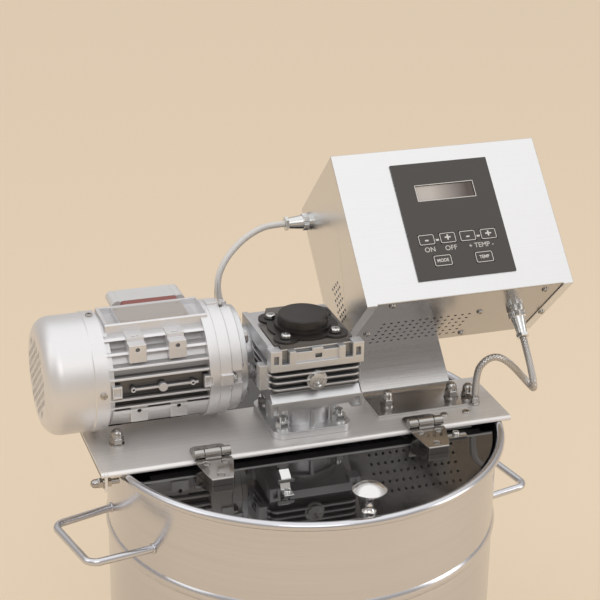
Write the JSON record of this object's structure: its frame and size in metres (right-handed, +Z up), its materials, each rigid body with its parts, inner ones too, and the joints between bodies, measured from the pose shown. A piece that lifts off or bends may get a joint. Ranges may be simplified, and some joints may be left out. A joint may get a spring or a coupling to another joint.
{
  "type": "honey creamer",
  "caption": "Stainless drum with a geared stirrer on a bridge plate, a hinged smoked half lid and a tilted control box, for stirring honey to a cream",
  "frame": {"origin": "on the floor under the drum's axis", "axes": "+Z up along the drum's axis, +X along the bridge plate towards the control box, -Y the front where the lid opens"},
  "size_m": [0.5689, 0.4708, 0.7124],
  "materials": {
    "drum_steel": "satin stainless sheet",
    "plate_steel": "brushed along its length",
    "box_steel": "bright stainless sheet",
    "polished_steel": "polished stainless",
    "chrome_plate": "mirror chrome",
    "zinc_plate": "bright zinc or nickel",
    "smoked_acrylic": "dark smoked gloss",
    "shaft_steel": "turned steel",
    "bronze": "machined bronze",
    "nylon": "plain",
    "gear_casting": "bright pressure casting",
    "black_cap": "satin brown-black",
    "motor_paint": "light silver-grey paint",
    "bare_plate": "bare, nothing printed",
    "fan_plastic": "plain",
    "windings": "varnished windings in a laminated stack",
    "terminal_brown": "red-brown",
    "panel_film": "charcoal film",
    "key_film": "charcoal film with a pale outline",
    "display_glass": "grey-green display",
    "drive_case": "finned heat sink",
    "lead_grey": "light grey sheath",
    "braid": "braided wire sheath"
  },
  "bodies": {
    "base": {"drum_shell": "drum_steel", "left_handle": "drum_steel", "right_handle": "drum_steel", "gate_body": "drum_steel", "bridge_plate": "plate_steel", "box_shell": "box_steel", "box_base": "box_steel", "box_bracket": "box_steel", "plate_bolts": "polished_steel", "plate_screws": "polished_steel", "plate_leaves": "polished_steel", "hinge_pins": "polished_steel", "box_screws": "polished_steel", "motor_screws": "polished_steel", "temperature_probe": "polished_steel", "gearbox_screws": "zinc_plate", "sockets": "zinc_plate", "housing_plugs": "zinc_plate", "rear_cover": "smoked_acrylic", "bearings": "shaft_steel", "bottom_bush": "nylon", "lid_switch": "nylon", "gearbox_housing": "gear_casting", "output_flange": "gear_casting", "input_flange": "gear_casting", "top_cap": "black_cap", "motor_frame": "motor_paint", "front_shield": "motor_paint", "rear_shield": "motor_paint", "terminal_box": "motor_paint", "terminal_lid": "motor_paint", "fan_cover": "motor_paint", "nameplate": "bare_plate", "stator": "windings", "terminal_gasket": "terminal_brown", "overlay": "panel_film", "display_board": "display_glass", "drive_unit": "drive_case", "motor_lead": "lead_grey", "sensor_lead": "braid"},
    "stirrer": {"hollow_shaft": "shaft_steel", "worm_wheel": "bronze", "stirrer_shaft": "shaft_steel", "stirrer_frame": "shaft_steel"},
    "rotor": {"rotor": "shaft_steel", "fan": "fan_plastic", "worm_shaft": "shaft_steel"},
    "lid": {"lid_panel": "smoked_acrylic", "lid_knob": "chrome_plate", "lid_clip": "zinc_plate", "lid_tab": "polished_steel", "lid_screws": "polished_steel", "lid_leaves": "polished_steel"},
    "gate": {"gate_blade": "drum_steel"},
    "speed_minus_key": {"speed_minus_key": "key_film"},
    "speed_plus_key": {"speed_plus_key": "key_film"},
    "time_minus_key": {"time_minus_key": "key_film"},
    "time_plus_key": {"time_plus_key": "key_film"},
    "mode_key": {"mode_key": "key_film"},
    "temperature_key": {"temperature_key": "key_film"}
  },
  "joints": [
    {"name": "stirrer_spin", "type": "hinge", "parent": "base", "child": "stirrer", "pos_m": [0, 0, 0.3], "axis": [0, 0, 1], "continuous": true},
    {"name": "rotor_spin", "type": "hinge", "parent": "base", "child": "rotor", "pos_m": [-0.15, 0.04, 0.5216], "axis": [1, 0, 0], "continuous": true},
    {"name": "lid_hinge", "type": "hinge", "parent": "base", "child": "lid", "pos_m": [0, -0.0585, 0.461], "axis": [-1, 0, 0], "range_deg": [0, 85]},
    {"name": "gate_swing", "type": "hinge", "parent": "base", "child": "gate", "pos_m": [0, -0.2422, 0.094], "axis": [0, 1, 0], "range_deg": [0, 75]},
    {"name": "speed_minus_press", "type": "slide", "parent": "base", "child": "speed_minus_key", "axis": [0, 0.7133, -0.7009], "range_m": [0, 0.0004], "stiffness_N_per_m": 900, "springref_m": -0.0004},
    {"name": "speed_plus_press", "type": "slide", "parent": "base", "child": "speed_plus_key", "axis": [0, 0.7133, -0.7009], "range_m": [0, 0.0004], "stiffness_N_per_m": 900, "springref_m": -0.0004},
    {"name": "time_minus_press", "type": "slide", "parent": "base", "child": "time_minus_key", "axis": [0, 0.7133, -0.7009], "range_m": [0, 0.0004], "stiffness_N_per_m": 900, "springref_m": -0.0004},
    {"name": "time_plus_press", "type": "slide", "parent": "base", "child": "time_plus_key", "axis": [0, 0.7133, -0.7009], "range_m": [0, 0.0004], "stiffness_N_per_m": 900, "springref_m": -0.0004},
    {"name": "mode_press", "type": "slide", "parent": "base", "child": "mode_key", "axis": [0, 0.7133, -0.7009], "range_m": [0, 0.0004], "stiffness_N_per_m": 900, "springref_m": -0.0004},
    {"name": "temperature_press", "type": "slide", "parent": "base", "child": "temperature_key", "axis": [0, 0.7133, -0.7009], "range_m": [0, 0.0004], "stiffness_N_per_m": 900, "springref_m": -0.0004}
  ],
  "couplings": [
    {"joint": "rotor_spin", "follows": "stirrer_spin", "ratio": 30}
  ]
}
